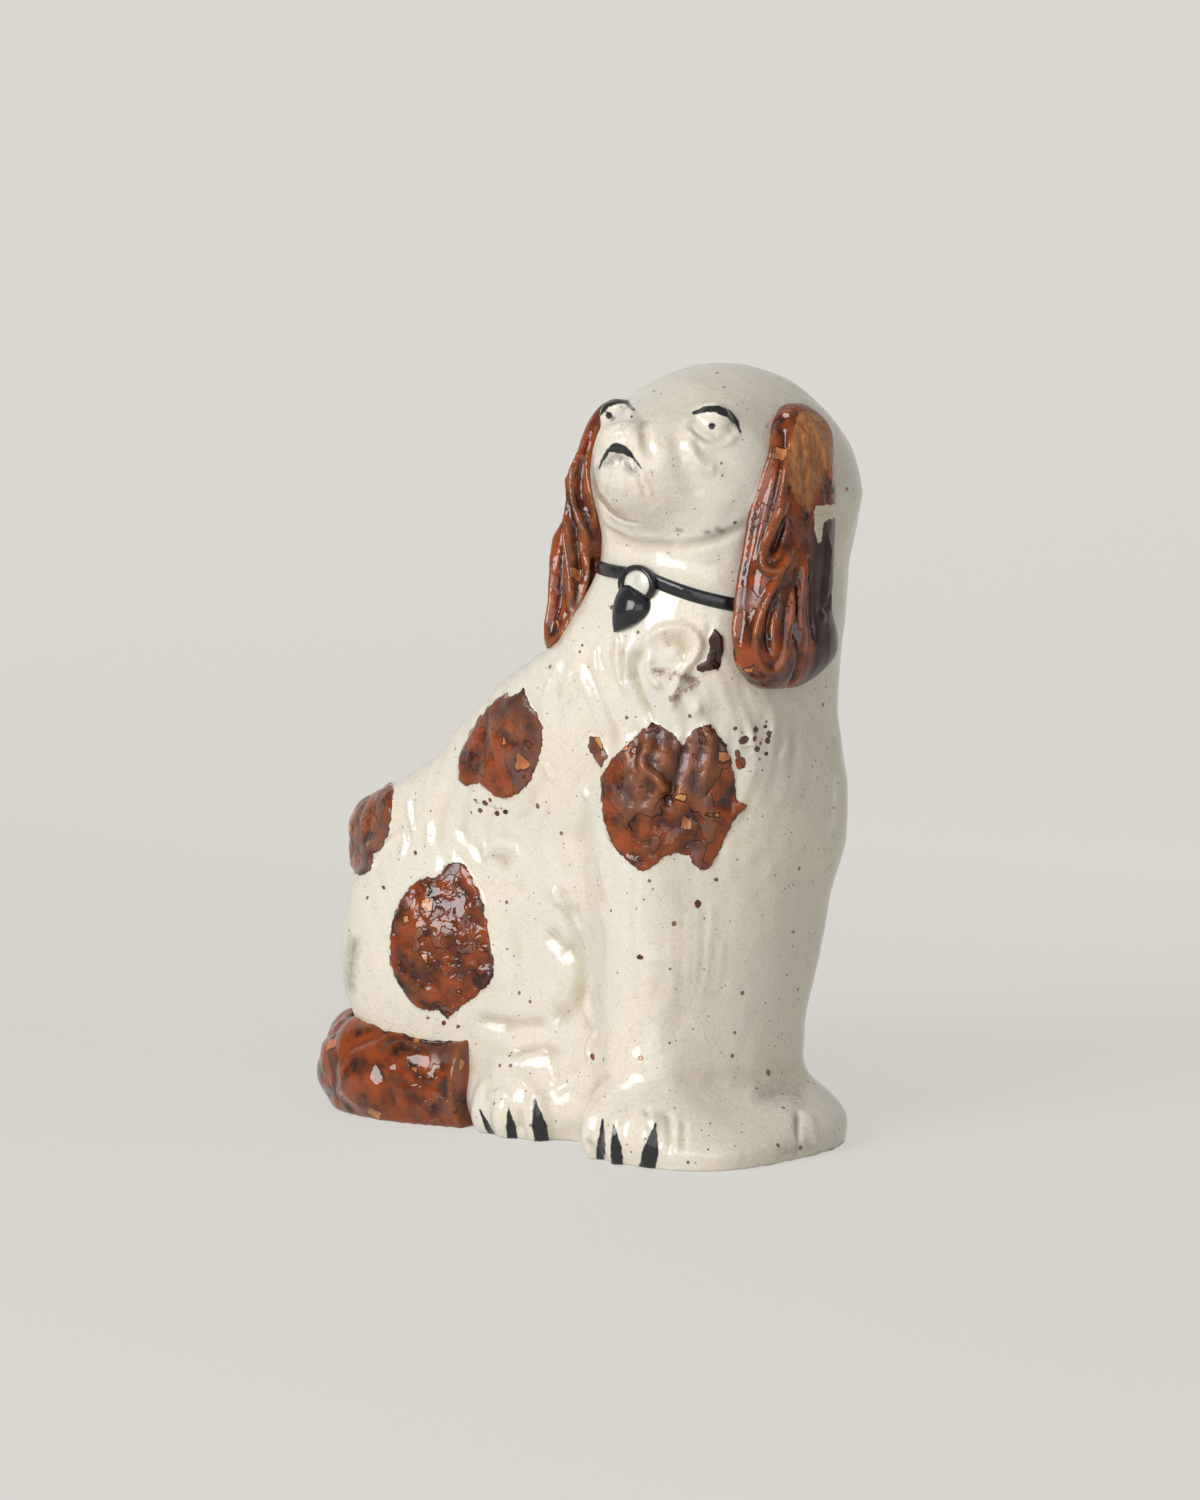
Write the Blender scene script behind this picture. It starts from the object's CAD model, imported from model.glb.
"""Looks of a seated spaniel figurine in glazed earthenware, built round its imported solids.

Sizes are in millimetres on the moulder's bench, where the seam and the vent have round numbers,
and each finished mesh is moved to the row frame in metres.
"""

import math

import bmesh
import bpy
import numpy as np
from mathutils import Matrix, Vector, noise


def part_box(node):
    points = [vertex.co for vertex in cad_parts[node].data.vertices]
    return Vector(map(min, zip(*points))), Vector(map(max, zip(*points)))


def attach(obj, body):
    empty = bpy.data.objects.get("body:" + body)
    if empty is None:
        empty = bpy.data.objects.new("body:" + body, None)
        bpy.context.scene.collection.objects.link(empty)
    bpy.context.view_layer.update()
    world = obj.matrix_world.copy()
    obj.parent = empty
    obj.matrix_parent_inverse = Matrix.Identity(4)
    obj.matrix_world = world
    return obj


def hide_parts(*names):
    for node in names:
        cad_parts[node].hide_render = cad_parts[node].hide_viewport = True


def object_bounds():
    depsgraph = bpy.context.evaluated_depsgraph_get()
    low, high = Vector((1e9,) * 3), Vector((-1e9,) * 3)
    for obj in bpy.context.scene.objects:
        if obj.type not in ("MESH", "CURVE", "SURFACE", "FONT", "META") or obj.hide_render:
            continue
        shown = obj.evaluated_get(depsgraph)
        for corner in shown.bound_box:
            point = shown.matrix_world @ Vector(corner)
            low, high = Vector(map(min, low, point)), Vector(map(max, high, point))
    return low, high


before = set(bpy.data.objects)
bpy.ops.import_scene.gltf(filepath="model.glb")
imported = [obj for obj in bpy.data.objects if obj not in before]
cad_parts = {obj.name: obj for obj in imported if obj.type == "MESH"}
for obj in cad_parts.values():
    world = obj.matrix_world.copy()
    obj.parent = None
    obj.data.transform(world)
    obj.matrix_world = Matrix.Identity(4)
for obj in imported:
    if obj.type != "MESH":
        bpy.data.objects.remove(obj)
cad_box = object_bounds()

# ---- Glazed body -------------------------------------------------------------------------------
# Two press-moulded halves of buff earthenware, joined in an upright seam and dipped in cream lead
# glaze. The hair, face and paws come from the mould; brown glaze and black enamel are brushed on.
# height, left, right, front, back, squareness of the outline at each height
trunk_outlines = (
    (0, -77, 85, -29, 42, 2.6), (8, -80, 86, -32, 44, 2.7), (18, -79, 74, -31, 43, 2.6),
    (30, -79, 73, -29, 43, 2.6), (50, -79, 76, -29, 48, 2.7), (75, -83, 79, -30, 52, 2.9),
    (90, -80, 82, -30, 54, 3.0), (104, -53, 82, -33, 54, 2.9), (128, -22, 81, -37, 50, 2.6),
    (150, 9, 84, -36, 47, 2.4), (170, 20, 85, -31, 47, 2.3), (190, 19, 90, -32, 48, 2.2),
)
foreleg_outlines = (
    (0, 38, 93, -46, 28, 2.5), (6, 35, 93, -47, 29, 2.5), (12, 33, 85, -44, 30, 2.5),
    (19, 33, 73, -40, 30, 2.4), (30, 32, 70, -38, 30, 2.3), (60, 31, 69, -37, 30, 2.3),
    (90, 31, 69, -38, 30, 2.3), (106, 34, 69, -37, 28, 2.3), (118, 40, 68, -32, 22, 2.3),
    (126, 46, 64, -22, 10, 2.3),
)
crown_height, crown_lean = 38.0, 4.0
# middle and half sizes of each rounded mass
haunch = ((-36, -16, 48), (37, 24, 43))
face = ((56, -14, 198), (29, 25, 24))
muzzle = ((56, -31, 200), (16, 17, 16))
nose = ((56, -44, 207), (7, 4, 5))
eyeballs = [((56 + side, -24.5, 213), (5.5, 4, 5)) for side in (-17.5, 17.5)]
hind_paw = ((6, -24, 8), (19, 15, 15))
front_paw = ((57, -31, 8), (22, 18, 13))
toe_size, toe_spacing, toe_relief, toe_drop = (5, 6, 9), 10.0, 1.8, 1.0
wall, seam_y, vent_x, vent_height, vent_radius = 5.0, 6.0, 58.0, 92.0, 3.2

vent_low, vent_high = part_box("vent_rim")
strip_low, strip_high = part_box("seam_strip")
bench_shift = Vector((500 * (vent_low.x + vent_high.x) - vent_x,
                      500 * (strip_low.y + strip_high.y) - seam_y, 0))


def between(start, end, leaving, arriving, t, span):
    """Smooth curve at share t of a span, from start to end and with those slopes there."""
    rise = t * t * (3 - 2 * t)
    return ((1 - rise) * start + rise * end
            + t * (1 - t) ** 2 * span * leaving - t * t * (1 - t) * span * arriving)


def run(outlines, z):
    """Every column of the outlines at the heights z, on a smooth curve through them."""
    table = np.array(outlines, float)
    heights = table[:, 0]
    slopes = np.gradient(table, heights, axis=0)
    z = np.clip(z, heights[0], heights[-1])
    below = np.clip(np.searchsorted(heights, z, side="right") - 1, 0, len(heights) - 2)
    span = (heights[below + 1] - heights[below])[..., None]
    t = (z - heights[below])[..., None] / span
    return between(table[below], table[below + 1], slopes[below], slopes[below + 1], t, span)


def oblong_level(across, along, left, right, front, back, squareness, growth):
    """Level within a rounded oblong outline: 0 at its middle and 1 on it."""
    return (np.abs(across / ((right - left) / 2 + growth)) ** squareness
            + np.abs(along / ((back - front) / 2 + growth)) ** squareness) ** (1 / squareness)


def column(outlines, x, y, z, growth=0.0):
    """Distance outside a column of rounded oblong outlines."""
    _, left, right, front, back, squareness = np.moveaxis(run(outlines, z), -1, 0)
    across, along = x - (left + right) / 2, y - (front + back) / 2
    level = oblong_level(across, along, left, right, front, back, squareness, growth)
    return np.hypot(across, along) * (1 - 1 / np.maximum(level, 1e-4))


def trunk(x, y, z, growth=0.0):
    """Distance outside the trunk, throat and skull, which closes like half an egg."""
    widest, left, right, front, back, squareness = trunk_outlines[-1]
    up = np.maximum(z - widest, 0) / (crown_height + growth)
    across = x - (left + right) / 2 + crown_lean * np.minimum(up, 1)
    along = y - (front + back) / 2
    level = oblong_level(across, along, left, right, front, back, squareness, growth)
    whole = np.maximum(np.hypot(level, up), 1e-4)
    dome = np.sqrt(across ** 2 + along ** 2 + np.maximum(z - widest, 0) ** 2) * (1 - 1 / whole)
    return np.where(z > widest, dome, column(trunk_outlines, x, y, z, growth))


def ball(mass, x, y, z, growth=0.0):
    """Distance outside a rounded mass."""
    offsets = [v - m for v, m in zip((x, y, z), mass[0])]
    level = np.sqrt(sum((o / (h + growth)) ** 2 for o, h in zip(offsets, mass[1])))
    return np.sqrt(sum(o * o for o in offsets)) * (1 - 1 / np.maximum(level, 1e-4))


def merge(a, b, softness):
    """Union of two distances, with a fillet as soft as that many millimetres."""
    near = np.maximum(softness - np.abs(a - b), 0) / softness
    return np.minimum(a, b) - near * near * softness / 4


def cavity_depth(x, y, z):
    """Distance outside the hollow, which runs out through the foot."""
    form = np.minimum(trunk(x, y, z, -wall), column(foreleg_outlines, x, y, z, -wall)
                      + np.maximum(z - foreleg_outlines[-1][0], 0))
    return np.minimum(np.minimum(form, ball(haunch, x, y, z, -wall)), ball(face, x, y, z, -wall))


def body_depth(x, y, z):
    """Distance outside the moulded body, negative in its clay."""
    legs = column(foreleg_outlines, x, y, z) + np.maximum(z - foreleg_outlines[-1][0], 0)
    form = merge(trunk(x, y, z), legs, 14)
    form = merge(form, ball(haunch, x, y, z), 9)
    form = merge(form, ball(face, x, y, z), 8)
    form = merge(form, ball(muzzle, x, y, z), 7)
    form = merge(form, ball(nose, x, y, z), 3)
    for eyeball in eyeballs:
        form = merge(form, ball(eyeball, x, y, z), 2)
    for paw in (hind_paw, front_paw):
        form = merge(form, ball(paw, x, y, z), 5)
        (paw_x, paw_y, paw_z), (half_x, half_y, _) = paw
        for offset in (-toe_spacing, 0, toe_spacing):
            toe_y = paw_y - half_y * math.sqrt(1 - (offset / half_x) ** 2) + toe_size[1] - toe_relief
            toe = ((paw_x + offset, toe_y, paw_z - toe_drop), toe_size)
            form = merge(form, ball(toe, x, y, z), 1.2)
    return np.maximum(form, -z)


def skin(depth, marks):
    """Corners and four-sided faces of the surface where depth is zero, one corner to a cell."""
    cells = [n - 1 for n in depth.shape]
    total, hits, faces = np.zeros((np.prod(cells), 3)), np.zeros(np.prod(cells)), []
    for axis in range(3):
        low = np.moveaxis(depth, axis, 0)[:-1]
        high = np.moveaxis(depth, axis, 0)[1:]
        crossing = np.argwhere((low < 0) != (high < 0))
        before, after = low[tuple(crossing.T)], high[tuple(crossing.T)]
        crossing = np.insert(crossing[:, 1:], axis, crossing[:, 0], axis=1)
        point = np.stack([marks[k][crossing[:, k]] for k in range(3)], 1)
        step = marks[axis][crossing[:, axis] + 1] - marks[axis][crossing[:, axis]]
        point[:, axis] += step * before / (before - after)
        ring = []
        for shift in ((0, 0), (1, 0), (1, 1), (0, 1)):
            cell = crossing.copy()
            cell[:, (axis + 1) % 3] -= shift[0]
            cell[:, (axis + 2) % 3] -= shift[1]
            ring.append(np.ravel_multi_index(cell.T, cells))
            hits += np.bincount(ring[-1], minlength=len(hits))
            for k in range(3):
                total[:, k] += np.bincount(ring[-1], point[:, k], len(hits))
        ring = np.stack(ring, 1)
        ring[before > 0] = ring[before > 0][:, ::-1]
        faces.append(ring)
    used = np.flatnonzero(hits)
    number = np.zeros(len(hits), int)
    number[used] = np.arange(len(used))
    return total[used] / hits[used, None], number[np.vstack(faces)]


def slope(depth, corners, reach=0.4):
    """Direction in which depth grows at each corner, and how fast."""
    return np.stack([depth(*(corners + reach * axis).T) - depth(*(corners - reach * axis).T)
                     for axis in np.eye(3)], 1) / (2 * reach)


def outwards_from(depth, corners):
    """Direction straight out of the surface at each corner."""
    rise = slope(depth, corners)
    return rise / np.linalg.norm(rise, axis=1, keepdims=True)


def settle(corners, depth, rounds=1):
    """Moves corners on to the surface where depth is zero."""
    for _ in range(rounds):
        rise = slope(depth, corners)
        step = depth(*corners.T) / np.maximum((rise ** 2).sum(1), 0.2)
        corners = corners - rise * np.clip(step, -1, 1)[:, None]
    return corners


def neighbour_mean(values, edges):
    """Mean of each corner's neighbours."""
    count = np.bincount(edges.ravel(), minlength=len(values))[:, None]
    total = np.zeros_like(values)
    for near, far in (edges.T, edges.T[::-1]):
        for k in range(values.shape[1]):
            total[:, k] += np.bincount(near, values[far, k], len(values))
    return total / np.maximum(count, 1)


def face_edges(faces):
    """Each pair of corners that share an edge, once."""
    pairs = np.vstack([faces[:, [k, (k + 1) % 4]] for k in range(4)])
    return np.unique(np.sort(pairs, 1), axis=0)


def sculpt(depth, marks, rounds=2):
    """Even mesh of the surface where depth is zero."""
    grid = [m.reshape([-1 if k == axis else 1 for k in range(3)]) for axis, m in enumerate(marks)]
    corners, faces = skin(np.broadcast_arrays(depth(*grid), *grid)[0], marks)
    edges = face_edges(faces)
    for _ in range(rounds):
        corners = settle(0.5 * corners + 0.5 * neighbour_mean(corners, edges), depth)
    return corners, faces


def stroke_gap(points, corners):
    """Distance from each corner to a line through points, and share along it."""
    points = np.array(points, float)
    starts, spans = points[:-1], np.diff(points, axis=0)
    gap, share = np.full(len(corners), 1e9), np.zeros(len(corners))
    lengths = np.linalg.norm(spans, axis=1)
    passed = np.concatenate([[0], np.cumsum(lengths)]) / lengths.sum()
    for k, (start, span) in enumerate(zip(starts, spans)):
        t = np.clip((corners - start) @ span / (span @ span), 0, 1)
        here = np.linalg.norm(corners - start - t[:, None] * span, axis=1)
        closer = here < gap
        gap[closer] = here[closer]
        share[closer] = (passed[k] + t * (passed[k + 1] - passed[k]))[closer]
    return gap, share


def model(corners, directions, strokes, depth):
    """Raises ridges and presses grooves along strokes: height, half width, points."""
    lift = np.zeros(len(corners))
    for height, half_width, points in strokes:
        points = settle(np.array(points, float), depth, 6)
        fine = [points[0]]
        for a, b in zip(points[:-1], points[1:]):
            fine += [a + (b - a) * s for s in (0.5, 1)]
        fine = np.array(fine)
        for _ in range(2):
            fine[1:-1] = 0.5 * fine[1:-1] + 0.25 * (fine[:-2] + fine[2:])
        reach = np.flatnonzero(((corners > fine.min(0) - half_width)
                                & (corners < fine.max(0) + half_width)).all(1))
        gap, share = stroke_gap(fine, corners[reach])
        ends = np.clip(np.minimum(share, 1 - share) * 6 + 0.35, 0, 1)
        bump = 0.5 + 0.5 * np.cos(np.pi * np.clip(gap / half_width, 0, 1))
        lift[reach] += height * bump * ends
    return corners + directions * lift[:, None]


def object_of(name, data):
    """Object that shows a mesh, curve, lamp or camera in the scene."""
    made = bpy.data.objects.new(name, data)
    bpy.context.scene.collection.objects.link(made)
    return made


def smooth(mesh):
    mesh.polygons.foreach_set("use_smooth", np.ones(len(mesh.polygons), bool))


def mesh_object(name, corners, faces, material=None):
    """Object of those corners, in bench millimetres, and faces, smoothly shaded."""
    mesh = bpy.data.meshes.new(name)
    mesh.from_pydata(((corners + np.array(bench_shift)) / 1000).tolist(), [], faces.tolist())
    smooth(mesh)
    if material:
        mesh.materials.append(material)
    return object_of(name, mesh)


def bench_corners(mesh):
    """Corners of a finished mesh in bench millimetres."""
    flat = np.zeros(3 * len(mesh.vertices))
    mesh.vertices.foreach_get("co", flat)
    return flat.reshape(-1, 3) * 1000 - np.array(bench_shift)


def corner_normals(mesh):
    flat = np.zeros(3 * len(mesh.vertices), np.float32)
    mesh.vertex_normals.foreach_get("vector", flat)
    return flat.reshape(-1, 3)


def store(mesh, **layers):
    """Keeps one number for each corner in each layer, for a material to read."""
    for name, values in layers.items():
        attribute = mesh.attributes.new(name, "FLOAT", "POINT")
        attribute.data.foreach_set("value", np.asarray(values, np.float32))


def hollows(mesh):
    """How far each corner lies below its neighbours, in millimetres, evened out."""
    pairs = np.zeros(2 * len(mesh.edges), np.int32)
    mesh.edges.foreach_get("vertices", pairs)
    pairs = pairs.reshape(-1, 2)
    corners = bench_corners(mesh)
    spread = corners.copy()
    for _ in range(3):
        spread = neighbour_mean(spread, pairs)
    depth = ((spread - corners) * corner_normals(mesh)).sum(1)[:, None]
    for _ in range(2):
        depth = neighbour_mean(depth, pairs)
    return depth[:, 0]


def linear(hex_colour):
    """Scene-linear colour of a hex sRGB colour."""
    parts = [int(hex_colour[k:k + 2], 16) / 255 for k in (0, 2, 4)]
    return [c / 12.92 if c <= 0.04045 else ((c + 0.055) / 1.055) ** 2.4 for c in parts] + [1.0]


def add(tree, kind, inputs=None, **settings):
    """Adds a node with its settings; inputs, by key or in order, are values, sockets or nodes."""
    made = tree.nodes.new("ShaderNode" + kind if tree.type == "SHADER" else kind)
    for name, value in settings.items():
        setattr(made, name, value)
    if isinstance(inputs, tuple):
        inputs = dict(enumerate(inputs))
    for key, value in (inputs or {}).items():
        if isinstance(value, bpy.types.Node):
            value = next(socket for socket in value.outputs if socket.enabled)
        if isinstance(value, bpy.types.NodeSocket):
            tree.links.new(value, made.inputs[key])
        else:
            made.inputs[key].default_value = value
    return made


def start_material(name):
    """Empty material, its tree and its Object coordinates."""
    material = bpy.data.materials.new(name)
    material.use_nodes = True
    tree = material.node_tree
    tree.nodes.clear()
    return material, tree, add(tree, "TexCoord").outputs["Object"]


def finish_material(tree, colour, rough, bump, bend=1.52):
    """Ends a material in one glossy or dull coat that bends light that much."""
    coat = add(tree, "BsdfPrincipled", {"Base Color": colour, "Roughness": rough, "Normal": bump,
               "IOR": bend})
    add(tree, "OutputMaterial", {"Surface": coat})


per_mm = 1000.0  # Object coordinates are in metres, so a pattern one millimetre wide has this scale


def tinted(tree, colour, value, low, high, over, most=1.0):
    """Colour that turns to another, up to the share most, as value goes from low to high."""
    share = add(tree, "MapRange", {"Value": value, "From Min": low, "From Max": high,
                "To Max": most})
    return add(tree, "Mix", {0: share, 6: colour, 7: over}, data_type="RGBA")


def warped(tree, place, width, reach):
    """Coordinates pushed about by noise of that width, by up to that reach, in millimetres."""
    push = add(tree, "TexNoise", {"Vector": place, "Scale": per_mm / width,
               "Detail": 3.0}).outputs["Color"]
    push = add(tree, "VectorMath", (push, (0.5, 0.5, 0.5)), operation="SUBTRACT")
    push = add(tree, "VectorMath", {0: push, "Scale": 4 * reach / per_mm}, operation="SCALE")
    return add(tree, "VectorMath", (place, push), operation="ADD")


def brown_glaze(tree, place):
    """Colour, roughness and height of treacle-brown glaze: iron plates, glossy pools and flakes."""
    dull = add(tree, "Attribute", attribute_name="dull").outputs["Fac"]
    sunk = add(tree, "Attribute", attribute_name="hollow").outputs["Fac"]
    loose = warped(tree, place, 3.0, 0.8)
    plates = add(tree, "TexNoise", {"Vector": loose, "Scale": per_mm / 11, "Detail": 2.0,
                 "Roughness": 0.5})
    plates = add(tree, "Math", (dull, 0.2, plates), operation="MULTIPLY_ADD")
    pool = add(tree, "MapRange", {"Value": plates, "From Min": 0.492, "From Max": 0.512,
               "To Min": 1.0, "To Max": 0.0})
    streak = add(tree, "TexNoise", {"Vector": loose, "Scale": per_mm / 6.5,
                 "Detail": 2.5, "Roughness": 0.5})
    share = add(tree, "MapRange", {"Value": streak, "From Min": 0.34, "From Max": 0.6})
    bloom = add(tree, "TexNoise", {"Vector": place, "Scale": per_mm / 7, "Detail": 3.0})
    wet = add(tree, "Mix", {0: share, 6: linear("280F07"), 7: linear("84380E")}, data_type="RGBA")
    matt = add(tree, "Mix", {0: share, 6: linear("442218"), 7: linear("784024")}, data_type="RGBA")
    matt = tinted(tree, matt, bloom, 0.5, 0.64, linear("5A423C"), 0.7)
    colour = add(tree, "Mix", {0: pool, 6: matt, 7: wet}, data_type="RGBA")
    # the glaze drains off ridges, where it is tan, gathers dark in creases, and burns when dull
    colour = tinted(tree, colour, sunk, -0.05, -0.2, linear("96542A"), 0.4)
    colour = tinted(tree, colour, sunk, 0.01, 0.12, linear("260D07"), 0.72)
    colour = tinted(tree, colour, dull, 0.4, 1.0, linear("24120C"), 0.88)
    # square-edged flakes of thin glaze, 2 to 4 mm across, with a dark rim
    tilted = add(tree, "Mapping", {"Vector": warped(tree, place, 1.6, 0.25),
                 "Rotation": (0.5, 0.35, 0.8)})
    cells = add(tree, "TexVoronoi", {"Vector": tilted, "Scale": per_mm / 6.5}, distance="CHEBYCHEV")
    pick = add(tree, "SeparateColor", {0: cells.outputs["Color"]})
    room = add(tree, "MapRange", {"Value": pick, "From Min": 0.7, "From Max": 1.0,
               "To Min": 0.0, "To Max": 0.36})
    inside = add(tree, "Math", (room, cells.outputs["Distance"]), operation="SUBTRACT")
    rim = add(tree, "MapRange", {"Value": inside, "From Min": -0.03, "From Max": 0.0})
    colour = add(tree, "Mix", {0: rim, 6: colour, 7: linear("3A140A")}, data_type="RGBA")
    tan = add(tree, "Mix", {0: share, 6: linear("9C5830"), 7: linear("BC8048")}, data_type="RGBA")
    colour = tinted(tree, colour, inside, 0.02, 0.04, tan)
    rough = add(tree, "MapRange", {"Value": pool, "To Min": 0.3, "To Max": 0.07})
    crust = add(tree, "MapRange", {"Value": pool, "To Min": 0.45, "To Max": 0.0})
    height = add(tree, "Math", (plates, 1.0, crust), operation="MULTIPLY_ADD")
    grit = add(tree, "Math", (share, 0.16, height), operation="MULTIPLY_ADD")
    height = add(tree, "Math", (rim, 0.25, grit), operation="MULTIPLY_ADD")
    return colour, rough, height


def iron_specks(tree, place, colour, spacing, chance, size, strength):
    """Adds specks of up to that size, in millimetres, to that share of cells of that spacing."""
    cells = add(tree, "TexVoronoi", {"Vector": place, "Scale": per_mm / spacing})
    pick = add(tree, "SeparateColor", {0: cells.outputs["Color"]})
    room = add(tree, "MapRange", {"Value": pick.outputs[0], "From Min": 1 - chance, "From Max": 1.0,
               "To Min": 0.0, "To Max": size / spacing})
    speck = add(tree, "Math", (room, cells.outputs["Distance"]), operation="SUBTRACT")
    rust = add(tree, "Mix", {0: pick.outputs[1], 6: linear("24221E"), 7: linear("7A4426")},
               data_type="RGBA")
    return tinted(tree, colour, speck, 0.0, 0.12 / spacing, rust, strength)


def glaze_patterns(tree, place):
    """Colour, tone and orange-peel height of cream lead glaze, with crackle and iron specks."""
    cloud = add(tree, "TexNoise", {"Vector": place, "Scale": per_mm / 34, "Detail": 4.0,
                "Roughness": 0.6})
    tone = add(tree, "MapRange", {"Value": cloud, "From Min": 0.36, "From Max": 0.64})
    colour = add(tree, "Mix", {0: tone, 6: linear("D0CCC0"), 7: linear("D8CFBE")}, data_type="RGBA")
    # crackle: nets of hair lines, fine and coarse, drawn wide enough to show
    for cell, width, depth in ((1.7, 0.07, 0.3), (6.5, 0.022, 0.24)):
        lines = add(tree, "TexVoronoi", {"Vector": warped(tree, place, 4.0, 0.4),
                    "Scale": per_mm / cell}, feature="DISTANCE_TO_EDGE").outputs["Distance"]
        hair = add(tree, "MapRange", {"Value": lines, "From Min": 0.0, "From Max": width,
                   "To Min": depth, "To Max": 0.0})
        hair = add(tree, "Math", (hair, cloud), operation="MULTIPLY")
        colour = add(tree, "Mix", {0: hair, 6: colour, 7: linear("6E654E")}, data_type="RGBA")
    for layer in ((2.2, 0.7, 0.42, 0.75), (4.2, 0.5, 0.75, 0.85), (10.0, 0.5, 1.1, 0.9)):
        colour = iron_specks(tree, place, colour, *layer)
    peel = add(tree, "TexNoise", {"Vector": place, "Scale": per_mm / 5, "Detail": 3.0})
    return colour, tone, peel


# Where the brown glaze is brushed on: outlines as seen across the view, in millimetres along it
view_turn = math.radians(40)
brown_outlines = {
    "heart": ((23.3, 126), (27.9, 124.1), (32.2, 119.8), (34.7, 123.9), (39.9, 126.1), (44.2, 120),
              (46.2, 115.3), (47.2, 107.7), (47.5, 103.6), (51.3, 102), (47.8, 99.5), (45.9, 96),
              (42.9, 89.5), (40.1, 84.2), (37.3, 83.4), (35.5, 85.6), (33.7, 88.1), (30.2, 88.9),
              (26.8, 87.6), (24.2, 85.6), (22.2, 83.6), (19.3, 84.1), (15.4, 87), (11.4, 91.8),
              (9.3, 98.2), (8.8, 104.7), (9.1, 110.1), (11.1, 114.4), (14.2, 117.6), (18.2, 121.4),
              (21.1, 124.4)),
    "spot": ((5.7, 121.2), (8.5, 120.8), (10.5, 116.2), (9.1, 112.2), (6.9, 114.1), (5.1, 118.1)),
    "crescent": ((40.9, 153.9), (43.5, 150.7), (43.5, 146.1), (42.1, 141.6), (39.2, 141.3),
                 (35.8, 141.3), (36.3, 143.4), (38.9, 144.5), (39.7, 147.3), (39.5, 151.3)),
    "shoulder": ((-18.6, 131.3), (-17.7, 130.1), (-13.5, 133.5), (-12.3, 130.2), (-9.7, 126.4),
                 (-8, 121.8), (-8.2, 116.4), (-9.8, 111.5), (-11.2, 107.1), (-14.2, 103.1),
                 (-18.9, 99.9), (-23.2, 101), (-26.7, 104), (-30.6, 102.6), (-33, 104.2),
                 (-33.3, 108.9), (-32.7, 111.9), (-30.3, 116.8), (-27.3, 122.4), (-23, 128)),
    "rump": ((-53.7, 98.4), (-53.9, 92.2), (-54.6, 86.8), (-56.4, 81.8), (-59.5, 78.6), (-60, 74.8),
             (-63.5, 71.8), (-72, 72), (-72, 84), (-66, 93), (-60, 99)),
    "haunch": ((-34.8, 79.4), (-31.7, 78.9), (-29.3, 75.5), (-26.6, 69.9), (-25.1, 64), (-23.9, 56.9),
               (-22.8, 51), (-23.1, 46.2), (-25.2, 42.6), (-26.9, 41.4), (-32.9, 36.6), (-36.6, 33),
               (-39, 35.3), (-41.3, 35.1), (-45.9, 35.4), (-49.5, 39.6), (-52, 43.3), (-54.1, 49.2),
               (-53.8, 58.2), (-52.2, 64.2), (-49.8, 69), (-46.2, 72.8), (-42.6, 74.8), (-40.7, 74.6)),
}


def outline_gap(outline, across, height):
    """Distance in millimetres from a closed outline, negative inside it."""
    start = np.array(outline, float)
    end = np.roll(start, -1, 0)
    edge = end - start
    offset = np.stack([across, height], 1)[:, None, :] - start
    t = np.clip((offset * edge).sum(-1) / (edge ** 2).sum(-1), 0, 1)
    gap = np.linalg.norm(offset - t[..., None] * edge, axis=-1).min(1)
    rising = (offset[..., 1] < 0) != (offset[..., 1] < edge[:, 1])
    drop = np.where(edge[:, 1] == 0, 1, edge[:, 1])
    cut = rising & (offset[..., 0] < edge[:, 0] * offset[..., 1] / drop)
    return np.where(cut.sum(1) % 2 == 1, -gap, gap)


def view_place(corners):
    """How far each corner lies across the view."""
    return corners[:, 0] * math.cos(view_turn) + corners[:, 1] * math.sin(view_turn)


def flattened(corners):
    """Corners as seen across the view and up, for distances from a line."""
    return np.stack([view_place(corners), corners[:, 2], 0 * corners[:, 0]], 1)


def view_facing(normals):
    """How squarely each normal faces the view, 1 when straight at it."""
    return normals[:, 0] * math.sin(view_turn) - normals[:, 1] * math.cos(view_turn)


def brown_gap(corners, normals):
    """Distance of each corner from the brown patches, negative on them."""
    facing = view_facing(normals)
    gap = np.full(len(corners), 60.0)
    for name, outline in brown_outlines.items():
        limit = -0.55 if name == "rump" else 0.0
        away = 60 * np.maximum(limit - facing, 0)
        gap = np.minimum(gap, outline_gap(outline, view_place(corners), corners[:, 2]) + away)
    return gap


# Black enamel strokes: half width, and points across the view and up
black_strokes = (
    (0.9, ((8.3, 212.6), (10.4, 216.2), (13.3, 217.6), (15.8, 217.4), (18.2, 215.4))),
    (1.15, ((35, 214.6), (38.2, 215.8), (41.5, 215.9), (45, 214.4), (47.1, 211.9), (48.2, 209.4))),
    (0.62, ((8.3, 199), (9, 201), (10.6, 204), (13, 206), (15.6, 205.2), (18.2, 202), (20.2, 199.2))),
    (1.5, ((10.8, 204.2), (12.8, 205.2), (15.2, 204.6), (16.4, 203.4))),
)
# Claws: half width at the foot, top, foot
claws = (
    (0.9, (-27.2, 8.2), (-23, -0.5)), (1.5, (-18.3, 9.8), (-17, -0.5)),
    (2.15, (-10.6, 13.2), (-8.2, -0.5)),
    (1.2, (9.3, 12.6), (8.6, 0.8)), (1.7, (12.4, 11.8), (13.4, 0.6)), (2.3, (24.2, 13), (21.9, 0.4)),
)
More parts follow.
